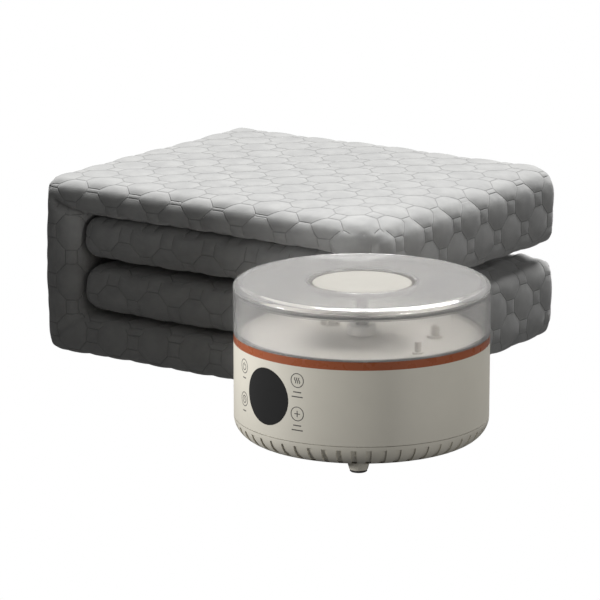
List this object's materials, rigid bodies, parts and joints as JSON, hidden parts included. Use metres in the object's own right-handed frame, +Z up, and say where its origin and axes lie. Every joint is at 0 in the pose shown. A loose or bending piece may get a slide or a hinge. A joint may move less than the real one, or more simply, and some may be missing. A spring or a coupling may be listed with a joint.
{
  "type": "heated water mat with heater unit",
  "caption": "Folded quilted heated mat in two hinged halves, with a round heater and pump unit that has a clear water tank, a lid and a touch display.",
  "frame": {"origin": "on the floor, under the centre of the bounding box of the folded mat and the unit beside it", "axes": "+Z up; +X along the folded mat from its spine to its folded right side; +Y away from the unit"},
  "size_m": [0.56, 0.5584, 0.1747],
  "materials": {
    "quilted_fabric": "matt quilted knit with a fine sheen",
    "wadding": "soft fibre filling",
    "tube_silicone": "translucent silicone",
    "mat_port_grey": "moulded, satin",
    "cream_shell": "fine satin moulding",
    "cream_deck": "satin moulding",
    "cream_disc": "satin moulding",
    "copper_trim": "satin copper-brown",
    "clear_tank": "clear polished",
    "float_white": "satin",
    "black_glass": "high gloss",
    "black_plastic": "satin",
    "black_rubber": "matt",
    "seal_silicone": "translucent silicone",
    "circuit_board": "board lacquer",
    "screw_steel": "zinc plated",
    "inner_plastic": "plain moulding",
    "heater_alloy": "cast",
    "winding_copper": "lacquered wire"
  },
  "bodies": {
    "mat_lower": {"mat_cover_lower": "quilted_fabric", "mat_wadding_lower": "wadding", "water_tube_lower": "tube_silicone", "mat_port": "mat_port_grey"},
    "mat_spine": {"mat_cover_spine": "quilted_fabric", "mat_wadding_spine": "wadding"},
    "mat_upper": {"mat_cover_upper": "quilted_fabric", "mat_wadding_upper": "wadding", "water_tube_upper": "tube_silicone"},
    "heater_unit": {"accent_band": "copper_trim", "base_screws": "screw_steel", "base_tray": "cream_shell", "board_screws": "screw_steel", "board_standoffs": "inner_plastic", "clear_wall": "clear_tank", "display_bezel": "black_plastic", "display_board": "circuit_board", "display_lens": "black_glass", "foot_pad_1": "black_rubber", "foot_pad_2": "black_rubber", "foot_pad_3": "black_rubber", "foot_pad_4": "black_rubber", "guide_column": "clear_tank", "heater_block": "heater_alloy", "heating_element": "heater_alloy", "level_probe": "cream_deck", "main_board": "circuit_board", "mains_inlet": "black_plastic", "outlet_socket": "black_plastic", "pressure_hose": "tube_silicone", "pump_cover": "inner_plastic", "pump_housing": "inner_plastic", "pump_stator": "winding_copper", "rear_plate": "cream_shell", "return_hose": "tube_silicone", "return_nozzle": "cream_deck", "return_socket": "black_plastic", "suction_hose": "tube_silicone", "suction_strainer": "cream_deck", "supply_hose": "tube_silicone", "tank_deck": "cream_deck", "tank_seal": "seal_silicone", "thermal_fuse": "winding_copper", "thermostat": "heater_alloy", "touch_key_film": "circuit_board", "transformer_core": "screw_steel", "transformer_winding": "winding_copper", "upper_housing": "cream_shell"},
    "tank_lid": {"clear_lid": "clear_tank", "lid_seal": "seal_silicone"},
    "cap": {"filler_cap": "cream_disc", "cap_seal": "seal_silicone"},
    "pump_rotor": {"impeller": "inner_plastic"},
    "float": {"level_float": "float_white"},
    "outlet_button": {"outlet_release": "black_plastic"},
    "return_button": {"return_release": "black_plastic"}
  },
  "joints": [
    {"name": "spine_fold", "type": "hinge", "parent": "mat_lower", "child": "mat_spine", "pos_m": [-0.28, 0.1115, 0], "axis": [0, -1, 0], "range_deg": [0, 90]},
    {"name": "upper_fold", "type": "hinge", "parent": "mat_spine", "child": "mat_upper", "pos_m": [-0.28, 0.1115, 0.1747], "axis": [0, -1, 0], "range_deg": [0, 90]},
    {"name": "unit_move", "type": "slide", "parent": "mat_lower", "child": "heater_unit", "axis": [0, -1, 0], "range_m": [0, 0.3]},
    {"name": "lid_lift", "type": "slide", "parent": "heater_unit", "child": "tank_lid", "axis": [0, 0, 1], "range_m": [0, 0.06]},
    {"name": "cap_lift", "type": "slide", "parent": "tank_lid", "child": "cap", "axis": [0, 0, 1], "range_m": [0, 0.03]},
    {"name": "impeller_spin", "type": "hinge", "parent": "heater_unit", "child": "pump_rotor", "pos_m": [0.12333, -0.14026, 0.024], "axis": [0, 0, 1], "continuous": true},
    {"name": "float_rise", "type": "slide", "parent": "heater_unit", "child": "float", "axis": [0, 0, 1], "range_m": [0, 0.02]},
    {"name": "outlet_press", "type": "slide", "parent": "heater_unit", "child": "outlet_button", "axis": [-0.225, -0.9744, 0], "range_m": [0, 0.002], "stiffness_N_per_m": 600, "springref_m": -0.001},
    {"name": "return_press", "type": "slide", "parent": "heater_unit", "child": "return_button", "axis": [-0.225, -0.9744, 0], "range_m": [0, 0.002], "stiffness_N_per_m": 600, "springref_m": -0.001}
  ],
  "couplings": [
    {"joint": "upper_fold", "follows": "spine_fold", "ratio": 1}
  ]
}
